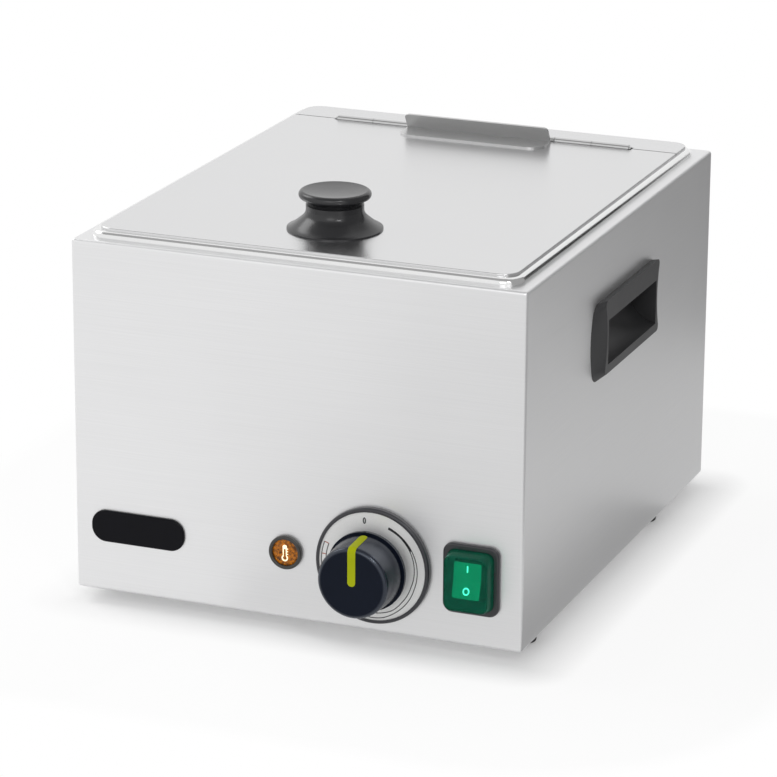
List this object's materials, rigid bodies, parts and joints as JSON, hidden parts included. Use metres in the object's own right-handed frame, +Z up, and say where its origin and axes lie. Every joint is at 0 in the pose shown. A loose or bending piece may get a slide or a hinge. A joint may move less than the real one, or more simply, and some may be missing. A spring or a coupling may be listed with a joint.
{
  "type": "sausage warmer",
  "caption": "Table-top sausage warmer: folded steel bain-marie housing with a lift-out pan, hinged lid, recessed side handles, thermostat knob, lamp and covered rocker switch.",
  "frame": {"origin": "middle of the whole object's box, on the surface that the feet stand on", "axes": "+Z up, -Y out of the front panel with the controls, +X to the right as seen from the front"},
  "size_m": [0.291, 0.3956, 0.251],
  "materials": {
    "housing_steel": "satin brushed",
    "lid_steel": "satin",
    "pan_steel": "polished",
    "bracket_steel": "satin",
    "hinge_steel": "polished",
    "well_steel": "mill",
    "screw_steel": "zinc plated",
    "black_plastic": "fine grain",
    "lid_knob_plastic": "semi-gloss",
    "knob_plastic": "satin",
    "pointer_green": "satin",
    "badge_black": "gloss",
    "dial_silver": "spun",
    "lens_amber": "faceted",
    "boot_clear": "soft clear",
    "rocker_green": "lit",
    "foot_rubber": "matte",
    "element_steel": "heat tinted",
    "ceramic_white": "matte",
    "phenolic_dark": "moulded",
    "terminal_brass": "plated",
    "bulb_copper": "drawn",
    "block_ivory": "moulded",
    "wire_brown": "insulated",
    "wire_blue": "insulated",
    "wire_green": "insulated"
  },
  "bodies": {
    "housing": {"housing_shell": "housing_steel", "rear_panel": "housing_steel", "bottom_plate": "housing_steel", "rear_panel_screws": "screw_steel", "bottom_plate_screws": "screw_steel", "foot_screws": "screw_steel", "foot_nuts": "screw_steel", "foot_front_left": "foot_rubber", "foot_front_right": "foot_rubber", "foot_rear_left": "foot_rubber", "foot_rear_right": "foot_rubber", "heat_well": "well_steel", "heating_element": "element_steel", "element_nuts": "screw_steel", "element_terminals": "ceramic_white", "element_supports": "well_steel", "bulb_clips": "well_steel", "thermostat_bulb": "bulb_copper", "thermostat_body": "phenolic_dark", "thermostat_screws": "screw_steel", "safety_cutout": "phenolic_dark", "badge_plate": "badge_black", "lamp_bezel": "black_plastic", "lamp_lens": "lens_amber", "lamp_body": "black_plastic", "lamp_nut": "screw_steel", "dial_ring": "black_plastic", "dial_plate": "dial_silver", "switch_frame": "black_plastic", "switch_boot": "boot_clear", "switch_terminals": "terminal_brass", "gland_body": "black_plastic", "gland_cap": "black_plastic", "gland_nut": "black_plastic", "terminal_block": "block_ivory", "terminal_block_screws": "terminal_brass", "earth_stud": "terminal_brass", "earth_nuts": "screw_steel", "live_wires": "wire_brown", "neutral_wires": "wire_blue", "earth_wire": "wire_green", "handle_left": "black_plastic", "handle_right": "black_plastic"},
    "thermostat_knob": {"control_knob": "knob_plastic", "knob_pointer": "pointer_green", "thermostat_shaft": "screw_steel"},
    "switch_rocker": {"rocker": "rocker_green"},
    "pan_set": {"pan": "pan_steel"},
    "pan_insert": {"false_bottom": "pan_steel"},
    "lid_base": {"lid_rear_strip": "lid_steel", "hinge_leaf_rear": "hinge_steel", "hinge_pin": "hinge_steel"},
    "lid": {"lid_front": "lid_steel", "hinge_leaf_front": "hinge_steel", "lid_stop_bracket": "bracket_steel", "lid_knob": "lid_knob_plastic", "lid_knob_washer": "screw_steel", "lid_knob_screw": "screw_steel"}
  },
  "joints": [
    {"name": "knob_turn", "type": "hinge", "parent": "housing", "child": "thermostat_knob", "pos_m": [0.0495, -0.16325, 0.049], "axis": [0, 1, 0], "range_deg": [0, 290]},
    {"name": "rocker_tilt", "type": "hinge", "parent": "housing", "child": "switch_rocker", "pos_m": [0.1095, -0.16175, 0.049], "axis": [1, 0, 0], "range_deg": [0, 20]},
    {"name": "pan_lift", "type": "slide", "parent": "housing", "child": "pan_set", "axis": [0, 0, 1], "range_m": [0, 0.11]},
    {"name": "insert_lift", "type": "slide", "parent": "pan_set", "child": "pan_insert", "axis": [0, 0, 1], "range_m": [0, 0.07]},
    {"name": "lid_lift", "type": "slide", "parent": "pan_set", "child": "lid_base", "axis": [0, 0, 1], "range_m": [0, 0.05]},
    {"name": "lid_hinge", "type": "hinge", "parent": "lid_base", "child": "lid", "pos_m": [0, 0.13825, 0.2281], "axis": [-1, 0, 0], "range_deg": [0, 134]}
  ]
}
